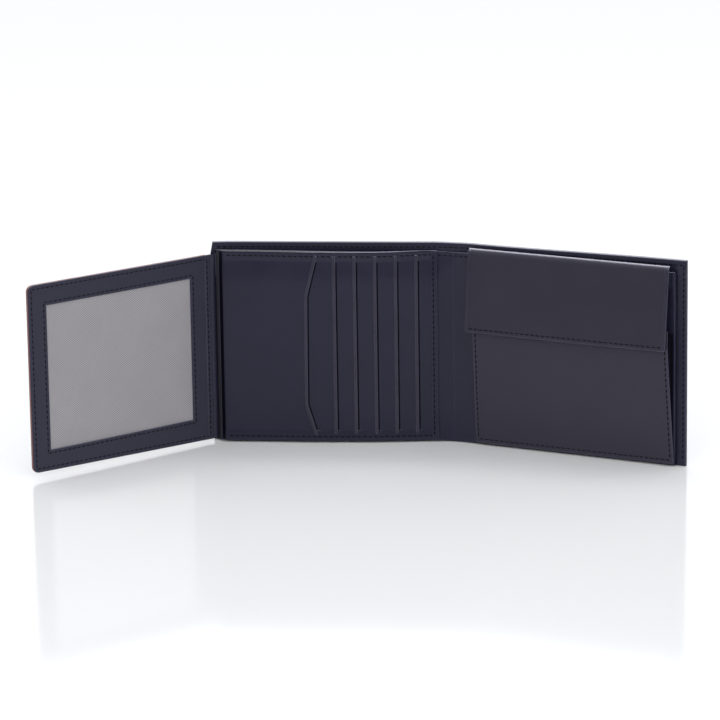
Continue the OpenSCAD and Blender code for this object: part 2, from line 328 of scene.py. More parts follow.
def cloth(name, light, dark, turned):
    """A plain weave, turned to lie along its own third."""
    f = Finish(name, Specular_IOR_Level=0.25, Sheen_Weight=0.1)
    at = f.coordinates(turned)
    wave = math.pi / (WEAVE_PITCH * MM)
    flat = f.node("SeparateXYZ", Vector=at)
    up = Value(f, flat.socket.node.outputs["Z"])
    warp = f.node("Math", {"operation": "SINE"}, i0=flat * wave)
    weft = f.node("Math", {"operation": "SINE"}, i0=up * wave)
    over = warp * weft
    height = over * 0.5 + 0.5
    slub = f.noise(180, 3, 0.6, at)
    f.feed(Base_Color=f.mix(height * (0.6 + 0.4 * slub), dark, light),
           Roughness=0.85 - height * 0.1)
    f.bump(height + slub * 0.5, 0.6, 0.00006)
    return f.material


def window_mesh(name, turned):
    """Fine grey netting: diagonal strands with darker gaps between them."""
    f = Finish(name, Specular_IOR_Level=0.35)
    at = f.coordinates(turned)
    wave = 2 * math.pi / (NET_PITCH * MM)
    flat = f.node("SeparateXYZ", Vector=at)
    up = Value(f, flat.socket.node.outputs["Z"])
    rising = f.node("Math", {"operation": "SINE"}, i0=(flat * 0.9 + up) * wave)
    falling = f.node("Math", {"operation": "SINE"}, i0=(flat * 0.9 - up) * wave)
    strand = (rising * 0.5 + 0.5).above(falling * 0.42 + 0.42)
    cloudy = f.noise(60, 2, 0.5, at)
    f.feed(Base_Color=f.mix(strand * (0.75 + 0.25 * cloudy), (0.106, 0.102, 0.108, 1),
                            (0.282, 0.272, 0.288, 1)),
           Roughness=0.55 + strand * -0.12)
    f.bump(strand, 0.5, 0.00006)
    return f.material


def thread_finish():
    f = Finish("waxed_thread", Specular_IOR_Level=0.05)
    twist = f.noise(3200, 2, 0.5)
    f.feed(Base_Color=f.mix(twist, (0.0008, 0.0008, 0.002, 1), (0.003, 0.003, 0.006, 1)),
           Roughness=0.45 + twist * 0.2)
    f.bump(twist, 0.5, 0.00005)
    return f.material


# Needle holes: near-black marks that paint the shade inside each hole.
def hole_shade_finish():
    f = Finish("needle_hole_shade", Specular_IOR_Level=0.1)
    speck = f.noise(2500, 2, 0.5)
    f.feed(Base_Color=f.mix(speck, (0.001, 0.001, 0.0015, 1), (0.004, 0.004, 0.005, 1)),
           Roughness=0.85 + speck * 0.1)
    return f.material


def edge_finish():
    f = Finish("edge_dye", Specular_IOR_Level=0.4)
    streak = f.noise(700, 3, 0.6)
    f.feed(Base_Color=f.mix(streak, (0.13, 0.045, 0.03, 1), (0.26, 0.10, 0.075, 1)),
           Roughness=0.4 + streak * 0.2)
    f.bump(streak, 0.3, 0.00005)
    return f.material


def steel_finish():
    f = Finish("magnet_steel", Metallic=1.0)
    brushed = f.noise(900, 3, 0.6)
    f.feed(Base_Color=f.mix(brushed, (0.45, 0.45, 0.47, 1), (0.62, 0.62, 0.64, 1)),
           Roughness=0.25 + brushed * 0.2)
    return f.material


# blue-black calf: the light and the dark of its mottling
TONE, SHADE = (0.0100, 0.0095, 0.0210, 1), (0.0075, 0.0070, 0.0165, 1)
LEATHER = leather("calf_leather", TONE, SHADE, 0.33)
# Lighter copy of the calf for the pouch and coin flap: painted light for their brighter look.
POUCH = leather("pouch_lit_leather", (0.0180, 0.0165, 0.0260, 1),
                (0.0150, 0.0138, 0.0220, 1), 0.31, 0.14)
# Lighter, glossier copy of the calf for turned edges and creases: painted highlight along
# them.
EDGE_HIGHLIGHT_LEATHER = leather("turned_edge_highlight_leather", (0.020, 0.0185, 0.029, 1),
                 (0.015, 0.014, 0.023, 1), 0.28)
TRIM = leather("trim_leather", TONE, SHADE, 0.36, 0.35)
# Near-black, barely shiny copy of the calf: painted shade for the pocket gaps, the valley and
# the pouch's bellows.
SHADE_LEATHER = leather("painted_shade_leather", (0.0025, 0.0022, 0.005, 1),
                 (0.0018, 0.0016, 0.004, 1), 0.6, 0.4, 0.06)
COVER_TURN = math.atan2(cover_along.y, cover_along.x)
WINDOW_TURN = math.atan2(-window_along.y, -window_along.x)
DARK_CLOTH = ((0.013, 0.013, 0.018, 1), (0.004, 0.004, 0.006, 1))
LINING = cloth("lining_cloth", *DARK_CLOTH, 0.0)
LINING_COVER = cloth("lining_cloth_cover", *DARK_CLOTH, COVER_TURN)
MESH = window_mesh("window_mesh", WINDOW_TURN)
THREAD, HOLE, EDGE = thread_finish(), hole_shade_finish(), edge_finish()
STEEL = steel_finish()


# ---------------------------------------------------------------- making
def everything(bm):
    return bm.verts[:] + bm.edges[:] + bm.faces[:]


def cut_across(bm, axis, places):
    """Edges across a piece, so that it can bend."""
    normal = Vector((0, 0, 0))
    normal[axis] = 1
    for spot in places:
        bmesh.ops.bisect_plane(bm, geom=everything(bm), dist=1e-5,
                               plane_co=normal * spot, plane_no=normal)


def spread(low, high, step):
    count = max(1, round((high - low) / step))
    return [low + (high - low) * i / count for i in range(1, count)]


def finished(name, bm, matrix, materials, sharp=38):
    """Turns a mesh in a third's own millimetres into a finished object."""
    bmesh.ops.transform(bm, matrix=matrix, verts=bm.verts)
    bmesh.ops.recalc_face_normals(bm, faces=bm.faces)
    mesh = bpy.data.meshes.new(name)
    bm.to_mesh(mesh)
    bm.free()
    for material in materials:
        mesh.materials.append(material)
    for face in mesh.polygons:
        face.use_smooth = True
    mesh.set_sharp_from_angle(angle=math.radians(sharp))
    piece = bpy.data.objects.new(name, mesh)
    bpy.context.scene.collection.objects.link(piece)
    return piece


def soften(bm, edges, size, segments=3):
    if edges:
        bmesh.ops.bevel(bm, geom=edges, offset=size, segments=segments, profile=0.5,
                        affect="EDGES", material=-1, clamp_overlap=True)


def cut_leather(name, points, y0, y1, matrix, material, warp=None, corners=(),
                radius=1.0, soft=0.15, rim=0.4, step=(6.0, 8.0), hole=None,
                open_ends=()):
    """A flat cut of leather from an outline of (along, up) points: y0 is its
    reader side, y1 its back. Its edges are rounded, then it is bent by warp."""
    bm = bmesh.new()
    corner_verts = [bm.verts.new((x, y0, z)) for x, z in points]
    bm.faces.new(corner_verts)
    if corners:
        bmesh.ops.bevel(bm, geom=[corner_verts[i] for i in corners], offset=radius,
                        segments=6, profile=0.5, affect="VERTICES", material=-1)
    if hole:
        cut_across(bm, 0, hole[0::2])
        cut_across(bm, 2, hole[1::2])
        inside = [f for f in bm.faces
                  if hole[0] < f.calc_center_median().x < hole[2]
                  and hole[1] < f.calc_center_median().z < hole[3]]
        bmesh.ops.delete(bm, geom=inside, context="FACES")
    made = bmesh.ops.extrude_face_region(bm, geom=bm.faces[:])
    raised = [v for v in made["geom"] if isinstance(v, bmesh.types.BMVert)]
    bmesh.ops.translate(bm, verts=raised, vec=(0, y1 - y0, 0))
    bmesh.ops.recalc_face_normals(bm, faces=bm.faces)

    def is_open(edge):
        return any(all(abs(v.co.x - x) < 1e-4 for v in edge.verts) for x in open_ends)

    rims = [e for e in bm.edges
            if abs(e.verts[0].co.y - e.verts[1].co.y) < 1e-6
            and e.calc_face_angle(0) > 0.8 and not is_open(e)]
    soften(bm, rims, min(soft, abs(y1 - y0) * 0.48))
    layer = bm.verts.layers.float.new("rim")
    for v in bm.verts:
        v[layer] = 1.0
    flats = [f for f in bm.faces if abs(f.normal.y) > 0.999]
    if rim:
        bmesh.ops.inset_region(bm, faces=flats, thickness=rim, use_even_offset=True,
                               use_boundary=True)
        flats = [f for f in bm.faces if f in set(flats)]
    for f in flats:
        for v in f.verts:
            v[layer] = 0.0
    xs = [v.co.x for v in bm.verts]
    zs = [v.co.z for v in bm.verts]
    for v in bm.verts:
        if any(abs(v.co.x - x) < rim + 0.05 for x in open_ends):
            if min(zs) + rim + 0.05 < v.co.z < max(zs) - rim - 0.05 or rim == 0:
                v[layer] = 0.0
    cut_across(bm, 0, spread(min(xs), max(xs), step[0]))
    cut_across(bm, 2, spread(min(zs), max(zs), step[1]))
    if warp:
        for v in bm.verts:
            v.co = warp(v.co)
    return finished(name, bm, matrix, [material])


def box_points(x0, z0, x1, z1):
    return [(x0, z0), (x1, z0), (x1, z1), (x0, z1)]


UP_STEP = 12.0


def drawn(name, section, x0, x1, matrix, material, warp=None, soft=0.25, step=4.0,
          open_ends=()):
    """A strip with one cross-section of (back, up) points all along it."""
    bm = bmesh.new()
    face = bm.faces.new([bm.verts.new((x0, y, z)) for y, z in section])
    made = bmesh.ops.extrude_face_region(bm, geom=[face])
    raised = [v for v in made["geom"] if isinstance(v, bmesh.types.BMVert)]
    bmesh.ops.translate(bm, verts=raised, vec=(x1 - x0, 0, 0))
    bmesh.ops.recalc_face_normals(bm, faces=bm.faces)
    ends = [e for e in bm.edges
            if abs(e.verts[0].co.x - e.verts[1].co.x) < 1e-6
            and not any(abs(e.verts[0].co.x - x) < 1e-4 for x in open_ends)]
    along = [e for e in bm.edges
             if abs(e.verts[0].co.x - e.verts[1].co.x) > 1e-3
             and e.calc_face_angle(0) > 0.8]
    soften(bm, ends + along, soft)
    layer = bm.verts.layers.float.new("rim")
    for v in bm.verts:
        v[layer] = 0.0
    cut_across(bm, 0, spread(x0, x1, step))
    zs = [v.co.z for v in bm.verts]
    cut_across(bm, 2, spread(min(zs), max(zs), UP_STEP))
    if warp:
        for v in bm.verts:
            v.co = warp(v.co)
    return finished(name, bm, matrix, [material])


STITCH = 2.6  # from one needle hole to the next
THREAD_L, THREAD_W, THREAD_T, SLANT = 1.7, 0.68, 0.34, 0.2
HOLE_W, HOLE_T = 0.4, 0.10


def row(a, b):
    """Middles and direction of the stitches on a line of (along, up) points."""
    a, b = Vector((a[0], 0, a[1])), Vector((b[0], 0, b[1]))
    count = max(1, round((b - a).length / STITCH))
    way = (b - a).normalized()
    return [(a + (b - a) * ((i + 0.5) / count), way) for i in range(count)]


def path_rows(points):
    return [s for a, b in zip(points, points[1:]) for s in row(a, b)]


def lozenge(material_index, rings):
    """One thread or needle hole, a unit across, made once and then repeated."""
    bm = bmesh.new()
    bmesh.ops.create_uvsphere(bm, u_segments=6, v_segments=rings, radius=0.5)
    for f in bm.faces:
        f.material_index = material_index
        f.smooth = True
    mesh = bpy.data.meshes.new("lozenge")
    bm.to_mesh(mesh)
    bm.free()
    return mesh


THREAD_SHAPE, HOLE_SHAPE = lozenge(0, 5), lozenge(1, 3)


def add_shape(bm, shape, matrix):
    copy = shape.copy()
    copy.transform(matrix)
    bm.from_mesh(copy)
    bpy.data.meshes.remove(copy)


def stitches(name, spots, y, matrix, warp=None, outward=-1):
    """Sewing threads that lie on a leather face at depth y."""
    bm = bmesh.new()
    out = Vector((0, outward, 0))
    for middle, way in spots:
        side = way.cross(out)
        slant = (way + side * SLANT).normalized()
        across = slant.cross(out)
        base = Matrix.Translation((middle.x, y, middle.z))
        thread = Matrix((across * THREAD_W, out * THREAD_T, slant * THREAD_L)).transposed()
        add_shape(bm, THREAD_SHAPE, base @ thread.to_4x4())
        hole = Matrix((side * HOLE_W, out * HOLE_T, way * HOLE_W)).transposed()
        add_shape(bm, HOLE_SHAPE,
                  Matrix.Translation(way * STITCH / 2) @ base @ hole.to_4x4())
    if warp:
        for v in bm.verts:
            v.co = warp(v.co)
    return finished(name, bm, matrix, [THREAD, HOLE], 80)


def on_middle(piece, slot, *nodes):
    """Attaches a piece to the centre body, with a mesh of its own, and hides the parts it
    stands for.
    """
    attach(piece, "centre")
    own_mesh(piece)
    return stands_for(piece, slot, *nodes)


def on_cover(piece, slot, *nodes, body="cover"):
    """Attaches a piece to the cover body, or to the given body, with a mesh of its own, and
    hides the parts it stands for.
    """
    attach(piece, body)
    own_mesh(piece)
    return stands_for(piece, slot, *nodes)


def stands_for(piece, slot, *nodes):
    if nodes:
        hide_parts(*nodes)
    return piece


def over_first_crease(piece, slot, *nodes):
    MIDDLE @ laid((CREASE_X - BEND, CREASE_Y, 0))
    MIDDLE @ laid((CREASE_X + BEND, CREASE_Y, 0))
    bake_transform(piece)
    return stands_for(piece, slot, *nodes)


def over_second_crease(piece, slot, *nodes):
    MIDDLE @ laid((COVER_X - BEND, CREASE_Y, 0))
    MIDDLE @ laid((COVER_X + BEND, CREASE_Y, 0))
    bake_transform(piece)
    return stands_for(piece, slot, *nodes)


# ---------------------------------------------------------------- outer cover
LEFT_X, RIGHT_X = -1.0, COVER_X + COVER_W + 0.7
END_ROW = RIGHT_X - 1.4
SHELL_IN, SHELL_OUT, HEM_IN = 3.4, 4.6, 2.8
SHELL_TOP, HEM_LOW = 96.3, 89.0


def shell_rise(co):
    """The cover rises a little towards its free end and curls in at its left."""
    x, y, z = co
    curl = 0.9 * smooth((7 - x) / 8) * smooth(z / 60)
    flare = (0.4 + 1.2 * smooth((SHELL_TOP - z) / 6)) * smooth((12 - x) / 12)
    return laid((x - flare, y - curl, z * taller(x - COVER_X)))


def shell_section():
    mid, r = (SHELL_OUT + HEM_IN) / 2, (SHELL_OUT - HEM_IN) / 2
    arch = [(mid + r * math.cos(a), SHELL_TOP - r + r * math.sin(a))
            for a in [math.radians(d) for d in range(0, 181, 20)]]
    return [(SHELL_IN, 0), (SHELL_OUT, 0)] + arch + [(HEM_IN, HEM_LOW), (SHELL_IN, HEM_LOW)]


over_first_crease(
    drawn("shell_middle", shell_section(), LEFT_X, MIDDLE_END, MIDDLE, LEATHER,
          shell_rise, step=3.0, open_ends=(MIDDLE_END,)),
    "leather", "shell_centre", "shell_spine", "shell_hem_centre", "shell_hem_spine")
over_second_crease(
    drawn("shell_front", shell_section(), MIDDLE_END, RIGHT_X, MIDDLE, LEATHER,
          shell_rise, step=3.0, open_ends=(MIDDLE_END,)),
    "leather", "shell_cover", "shell_hem_cover")
over_second_crease(
    cut_leather("shell_end_hem", box_points(RIGHT_X - 4.4, 0.3, RIGHT_X - 0.1, HEM_LOW),
                HEM_IN, SHELL_IN, MIDDLE, TRIM, shell_rise, rim=0.2),
    "leather_trim")

TOP_ROW, LOW_ROW = SHELL_TOP - 2.4, 2.2
for label, x0, x1, crease in (("middle", LEFT_X + 2, MIDDLE_END, over_first_crease),
                              ("front", MIDDLE_END, END_ROW, over_second_crease)):
    crease(stitches("stitches_hem_inside_" + label, row((x0, TOP_ROW), (x1, TOP_ROW)),
                    HEM_IN, MIDDLE, shell_rise), "leather")
    rows = row((x0, TOP_ROW), (x1, TOP_ROW)) + row((x0, LOW_ROW), (x1, LOW_ROW))
    end = x0 if label == "middle" else x1
    rows += row((end, LOW_ROW), (end, TOP_ROW))
    crease(stitches("stitches_outside_" + label, rows, SHELL_OUT, MIDDLE, shell_rise,
                    outward=1), "leather")
over_second_crease(
    stitches("stitches_shell_end", row((END_ROW, 3), (END_ROW, TOP_ROW)),
             HEM_IN, MIDDLE, shell_rise), "leather")

# ---------------------------------------------------------------- note compartment
WALL_X0, WALL_Z0, WALL_Z1 = -0.6, 1.0, 92.0
WALL_SPLIT = 97.6  # left of it the wall is flat
WALL_END = COVER_X + COVER_W - 4.1
LINING_X0, LINING_Z0, LINING_Z1 = 1, 2, 91


def spine_dip(x, depth):
    """How far the leather sinks back halfway over the spine."""
    return depth * smooth(1 - abs(x - MIDDLE_END) / 9)


def wall_bend(co):
    """The inner wall hugs the cover a little over the spine."""
    x, y, z = co
    back = lean(z) * (1 - smooth((x - MIDDLE_END) / 8))
    return laid((x, y - bulge(x, z) + max(spine_dip(x, 1.1), back), z - drop(x, z)))


on_middle(cut_leather("wall_left", box_points(WALL_X0, WALL_Z0, WALL_SPLIT, WALL_Z1),
                      WALL_F, WALL_B, MIDDLE, LEATHER, pushed, step=(6, FINE),
                      open_ends=(WALL_SPLIT,)),
          "leather", "bill_wall_centre")
over_first_crease(
    cut_leather("wall_middle", box_points(WALL_SPLIT, WALL_Z0, MIDDLE_END, WALL_Z1),
                WALL_F, WALL_B, MIDDLE, LEATHER, wall_bend, step=(1.5, FINE),
                open_ends=(WALL_SPLIT, MIDDLE_END)),
    "leather", "bill_wall_spine")
over_second_crease(
    cut_leather("wall_front", box_points(MIDDLE_END, WALL_Z0, WALL_END, WALL_Z1),
                WALL_F, WALL_B, MIDDLE, LEATHER, wall_bend, step=(2.0, 9),
                open_ends=(MIDDLE_END,)),
    "leather", "bill_wall_cover")

CLOTH_T = 0.25


def lining(name, x0, x1, z1, y, warp, step):
    """A cloth sheet on the note compartment's side of the leather."""
    return cut_leather(name, box_points(x0, LINING_Z0, x1, z1), y, y + CLOTH_T, MIDDLE,
                       LINING_COVER if x1 > MIDDLE_END else LINING, warp, soft=0.05,
                       rim=0, step=(step, 3))


def declare_sheet(piece, width, height, *rests):
    width * MM
    return piece


for name, x0, x1, riding, nodes, rests in (
        ("wall_lining_left", LINING_X0, WALL_SPLIT, on_middle,
         ("bill_wall_lining_centre",), "wall_left"),
        ("wall_lining_middle", WALL_SPLIT, MIDDLE_END, over_first_crease,
         ("bill_wall_lining_spine",), "wall_middle"),
        ("wall_lining_front", MIDDLE_END, WALL_END - 2, over_second_crease,
         ("bill_wall_lining_cover",), "wall_front")):
    warp = pushed if riding is on_middle else wall_bend
    piece = lining(name, x0, x1, LINING_Z1, WALL_B, warp, 2.0)
    riding(piece, "lining_cloth", *nodes)
    declare_sheet(piece, x1 - x0, LINING_Z1 - LINING_Z0, rests)

for name, x0, x1, riding, nodes, rests in (
        ("shell_lining_middle", LINING_X0, MIDDLE_END, over_first_crease,
         ("shell_lining_centre", "shell_lining_spine"), "shell_middle"),
        ("shell_lining_front", MIDDLE_END, RIGHT_X - 2.6, over_second_crease,
         ("shell_lining_cover",), "shell_front")):
    piece = lining(name, x0, x1, HEM_LOW, SHELL_IN - CLOTH_T, laid, 3.0)
    riding(piece, "lining_cloth", *nodes)
    declare_sheet(piece, x1 - x0, HEM_LOW - LINING_Z0, rests)


def seam_push(co):
    """The bottom seam reaches from the pushed-out wall back to the cover."""
    x, y, z = co
    share = (SHELL_IN - y) / (SHELL_IN - WALL_B)
    return Vector((x, y - bulge(x, z) * share, z))


def seam_bend(co):
    """The same over the spine and the front third."""
    x, y, z = seam_push(co)
    return laid((x, y + spine_dip(x, 0.7) * (SHELL_IN - y) / (SHELL_IN - WALL_B), z))


SEAM = [(WALL_B, 0.4), (SHELL_IN, 0.4), (SHELL_IN, 2), (WALL_B, 2)]
on_middle(drawn("seam_bottom_left", SEAM, WALL_X0, WALL_SPLIT, MIDDLE, TRIM, seam_push,
                soft=0.1), "leather_trim", "seam_bottom_centre")
over_first_crease(drawn("seam_bottom_middle", SEAM, WALL_SPLIT, MIDDLE_END, MIDDLE, TRIM,
                        seam_bend, soft=0.1, step=1.5,
                        open_ends=(WALL_SPLIT, MIDDLE_END)),
                  "leather_trim", "seam_bottom_spine")
over_second_crease(drawn("seam_bottom_front", SEAM, MIDDLE_END, WALL_END, MIDDLE, TRIM,
                         seam_bend, soft=0.1, open_ends=(MIDDLE_END,)),
                   "leather_trim", "seam_bottom_cover")
stands_for(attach(cut_leather("seam_left_edge",
                               box_points(WALL_X0, LINING_Z0, LINING_X0, LINING_Z1),
                               WALL_B, HEM_IN, MIDDLE, TRIM, rim=0), "centre"),
           "leather_trim", "seam_left")
over_second_crease(cut_leather("seam_right_edge",
                               box_points(WALL_END - 2, LINING_Z0, WALL_END, LINING_Z1),
                               WALL_B, HEM_IN, MIDDLE, TRIM, laid, rim=0),
                   "leather_trim", "seam_right")

WALL_ROW = WALL_Z1 - 1.8
over_first_crease(stitches("stitches_wall_middle", row((104.2, WALL_ROW),
                           (MIDDLE_END, WALL_ROW)), WALL_F, MIDDLE, wall_bend), "leather")
over_second_crease(stitches("stitches_wall_front",
                            row((MIDDLE_END, WALL_ROW), (COVER_X + 3, WALL_ROW)),
                            WALL_F, MIDDLE, wall_bend), "leather")

# ---------------------------------------------------------------- card pockets
STACK_X0, STACK_X1, STACK_Z0, STACK_Z1 = 0.0, 104.4, 1.0, 92.6
LAYER, SLOTS, STRIP_W = 0.4, 5, 18.0
FIRST_SLOT_X, SLOT_STEP = 95.0, 9.6
FRONT_X, THUMB = 47.2, 4.4
FRONT_BACK, FRONT_FACE = -LAYER * SLOTS, -LAYER * (SLOTS + 1)


def slot_x(k):
    """Right edge of slot k, counted from the spine."""
    return FIRST_SLOT_X - SLOT_STEP * (k - 1)


on_middle(cut_leather("pocket_backing_leather",
                      box_points(STACK_X0, STACK_Z0, STACK_X1, STACK_Z1), 0.0, WALL_F,
                      MIDDLE, LEATHER, stacked, step=(4, FINE)),
          "leather", "pocket_backing")
TURN_W, TURN_T = 1.7, 0.42


def turned_edge(name, path, front, slot_name="leather"):
    """The folded-over edge of a pocket: a doubled, rounded band along a path, in lighter
    leather that paints the highlight along the edge.
    """
    band = path + [(x - TURN_W, z) for x, z in reversed(path)]
    bends = range(1, len(path) - 1)
    inner = [len(band) - 1 - i for i in bends]
    piece = cut_leather(name, band, front - TURN_T, front + 0.3, MIDDLE, EDGE_HIGHLIGHT_LEATHER,
                        stacked, corners=[*bends, *inner], radius=1.6, soft=0.34,
                        rim=0.12, step=(4, FINE))
    return on_middle(piece, slot_name)


def pocket_gap_shadow(name, path, back, width=0.6):
    """A dark strip beside a pocket's edge: painted shadow of the gap under it."""
    band = path + [(x + width, z) for x, z in reversed(path)]
    return on_middle(cut_leather(name, band, back - 0.06, back + 0.05, MIDDLE, SHADE_LEATHER,
                                 stacked, soft=0.03, rim=0, step=(4, FINE)),
                     "lining_cloth")


for k in range(1, SLOTS + 1):
    edge = slot_x(k)
    path = [(edge + 0.25, 4.6), (edge + 0.25, 90.7)]
    turned_edge(f"slot_turned_edge_{k}", path, -LAYER * k)
    # dark strip beside the slot's edge: painted shadow in its gap
    pocket_gap_shadow(f"slot_gap_shadow_{k}", path, -LAYER * (k - 1))
    on_middle(cut_leather(f"slot_leather_{k}",
                          box_points(edge - STRIP_W, STACK_Z0, edge, STACK_Z1),
                          -LAYER * k, -LAYER * (k - 1), MIDDLE, LEATHER, stacked,
                          soft=0.18, rim=0.3, step=(4, FINE)),
              "leather", f"slot_strip_{k}")
    piece = cut_leather(f"pocket_cloth_{k}",
                        box_points(STACK_X0, STACK_Z0, edge - STRIP_W, STACK_Z1),
                        -LAYER * k + 0.1, -LAYER * (k - 1) - 0.05, MIDDLE, LINING,
                        stacked, soft=0.05, rim=0, step=(4, FINE))
    on_middle(piece, "lining_cloth", f"pocket_sheet_{k}")
    declare_sheet(piece, edge - STRIP_W - STACK_X0, STACK_Z1 - STACK_Z0,
                  "pocket_backing_leather")

THUMB_PATH = [(FRONT_X + 0.2, 4.0), (FRONT_X - THUMB, 19.0),
              (FRONT_X - THUMB + 0.4, 71.0), (FRONT_X + 0.8, 91.0)]
on_middle(cut_leather(
    "front_pocket_leather",
    [(STACK_X0, STACK_Z0), (FRONT_X, STACK_Z0)] + THUMB_PATH
    + [(FRONT_X, STACK_Z1), (STACK_X0, STACK_Z1)],
    FRONT_FACE, FRONT_BACK, MIDDLE, LEATHER, stacked, corners=(3, 4), radius=1.6,
    soft=0.18, rim=0.3, step=(4, FINE)), "leather", "front_pocket")
THUMB_EDGE = [(x + 0.25, z) for x, z in THUMB_PATH]
turned_edge("front_pocket_turned_edge", THUMB_EDGE, FRONT_FACE)
# dark strip beside the front pocket's edge: painted shadow in its gap
pocket_gap_shadow("front_pocket_gap_shadow", THUMB_EDGE, FRONT_BACK)
# Near-black strip in the valley beside the window flap's hinge: painted shade of the recess.
on_middle(cut_leather("pocket_valley_shade", box_points(STACK_X0 - 0.3, STACK_Z0 + 0.3, 3.3,
                                                  STACK_Z1 - 0.3),
                      FRONT_FACE - 0.42, FRONT_FACE, MIDDLE, SHADE_LEATHER, stacked,
                      soft=0.1, rim=0, step=(0.5, FINE)), "leather")


def stair_points():
    """Stepped front of the pockets as (along, back), from left to right."""
    points = [(STACK_X0, FRONT_FACE)]
    for k in range(SLOTS + 1, 0, -1):
        edge = FRONT_X if k > SLOTS else slot_x(k)
        points += [(edge + 0.2, -LAYER * k), (edge + 1.4, -LAYER * (k - 1))]
    return points + [(STACK_X1, 0)]


STAIR = stair_points()


def stair_depth(x):
    for (xa, ya), (xb, yb) in zip(STAIR, STAIR[1:]):
        if x <= xb:
            return ya + (yb - ya) * max(0.0, (x - xa) / (xb - xa))
    return STAIR[-1][1]


def binding_warp(co):
    """A strip made flat at depth 0 is laid over the stepped pockets."""
    x, y, z = co
    return stacked((x, y + stair_depth(x), z))


THICK, RIGHT_THICK = 0.16, 0.34  # the strips stand this far proud of the pockets
ROW_LEFT, ROW_RIGHT = STACK_X0 + 5, STACK_X1 - 2.0
ROW_LOW, ROW_TOP = STACK_Z0 + 2.2, STACK_Z1 - 2.1
TOP_SECTION = [(0.3, STACK_Z1), (-THICK, STACK_Z1), (-THICK, STACK_Z1 - 1.2),
               (-0.01, STACK_Z1 - 4.8), (0.3, STACK_Z1 - 4.8)]
LOW_SECTION = [(0.3, STACK_Z0), (0.3, STACK_Z0 + 5.2), (-0.01, STACK_Z0 + 5.2),
               (-THICK, STACK_Z0 + 1.4), (-THICK, STACK_Z0)]
on_middle(drawn("pocket_top_strip", TOP_SECTION, STACK_X0, STACK_X1, MIDDLE, LEATHER,
                binding_warp, soft=0.2, step=1.2), "leather", "pocket_top_binding")
on_middle(drawn("pocket_bottom_strip", LOW_SECTION, STACK_X0, STACK_X1, MIDDLE, LEATHER,
                binding_warp, soft=0.14, step=1.2), "leather", "pocket_bottom_binding")
on_middle(cut_leather("pocket_right_strip",
                      box_points(STACK_X1 - 3, STACK_Z0 + 0.2, STACK_X1, STACK_Z1 - 0.2),
                      -RIGHT_THICK, 0.0, MIDDLE, LEATHER, stacked, rim=0.25,
                      step=(3, FINE)),
          "leather", "pocket_edge_binding")
on_middle(stitches("stitches_pockets",
                   row((ROW_LEFT, ROW_TOP), (ROW_RIGHT, ROW_TOP))
                   + row((ROW_LEFT, ROW_LOW), (ROW_RIGHT, ROW_LOW)),
                   -THICK, MIDDLE, binding_warp), "leather")
on_middle(stitches("stitches_pocket_right",
                   row((ROW_RIGHT, ROW_LOW), (ROW_RIGHT, ROW_TOP)),
                   -RIGHT_THICK, MIDDLE, stacked), "leather")

# ---------------------------------------------------------------- window flap
# From the reader's side: frame, card space with the dyed seam round it, back.
ID_FACE, ID_T, ID_GAP = 0.91, 0.6, 0.6
GAP_FRONT, GAP_BACK = ID_FACE + ID_T, ID_FACE + ID_T + ID_GAP
ID_BACK = ID_FACE + 2 * ID_T + ID_GAP
WIN = (11.9, 12.7, 92.2, 81.1)  # window opening: left, low, right, top
NET_UNDER = 4  # the net reaches this far under the frame
FLAP_POINTS = [(0.2, 1.6), (102.0, 3.0), (102.0, 91.5), (0.2, 91.0)]


def grown(by):
    """The flap's outline clear of its hinge, let out by a little."""
    (x0, a), (x1, b), (_, c), (_, d) = FLAP_POINTS
    return [(x0 + 2.4, a - by), (x1 + by, b - by), (x1 + by, c + by), (x0 + 2.4, d + by)]


def let_out(window, by):
    return window[0] - by, window[1] - by, window[2] + by, window[3] + by


def on_flap(piece, slot, *nodes):
    return stands_for(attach(piece, "window_flap"), slot, *nodes)


on_flap(cut_leather("window_frame", FLAP_POINTS, ID_FACE, GAP_FRONT, WINDOW,
                    LEATHER, corners=(1, 2), radius=3.0, soft=0.2, hole=WIN,
                    step=(8, 8)), "leather", "id_frame")
on_flap(cut_leather("window_back", grown(0), GAP_BACK, ID_BACK, WINDOW, LEATHER,
                    corners=(1, 2), radius=3.0, soft=0.2, step=(8, 8)),
        "leather", "id_back")
on_flap(cut_leather("window_core", grown(0.08), GAP_FRONT - 0.02, GAP_BACK + 0.02,
                    WINDOW, EDGE, corners=(1, 2), radius=3.0, soft=0.05, rim=0,
                    hole=(5.0, 6.0, 98.5, 87.5)), "leather", "id_seam")
net = on_flap(cut_leather("window_net", box_points(*let_out(WIN, NET_UNDER)),
                          GAP_FRONT - 0.02, GAP_FRONT + 0.18, WINDOW, MESH, rim=0,
                          soft=0.05, step=(12, 12)), "mesh", "id_mesh")
declare_sheet(net, WIN[2] - WIN[0] + 2 * NET_UNDER, WIN[3] - WIN[1] + 2 * NET_UNDER,
              "window_frame")

# Lighter strip along the hinge crease: painted highlight on the crease.
on_flap(cut_leather("window_hinge_crease", box_points(3.0, 2.0, 3.6, 90.7),
                    ID_FACE - 0.16, ID_FACE + 0.1, WINDOW, EDGE_HIGHLIGHT_LEATHER, soft=0.14, rim=0.1,
                    step=(8, 8)), "leather")
OUT_ROW = [(2.3, 3.4), (100.2, 4.9), (100.2, 89.6), (2.3, 89.1), (2.3, 3.4)]
IN_ROW = box_points(*let_out(WIN, 1.5))
IN_ROW.append(IN_ROW[0])
on_flap(stitches("stitches_window_front", path_rows(OUT_ROW) + path_rows(IN_ROW),
                 ID_FACE, WINDOW), "leather")
on_flap(stitches("stitches_window_back", path_rows(OUT_ROW), ID_BACK, WINDOW,
                 outward=1), "leather")


STRIP_Z0, STRIP_H = 1.6, 89.0


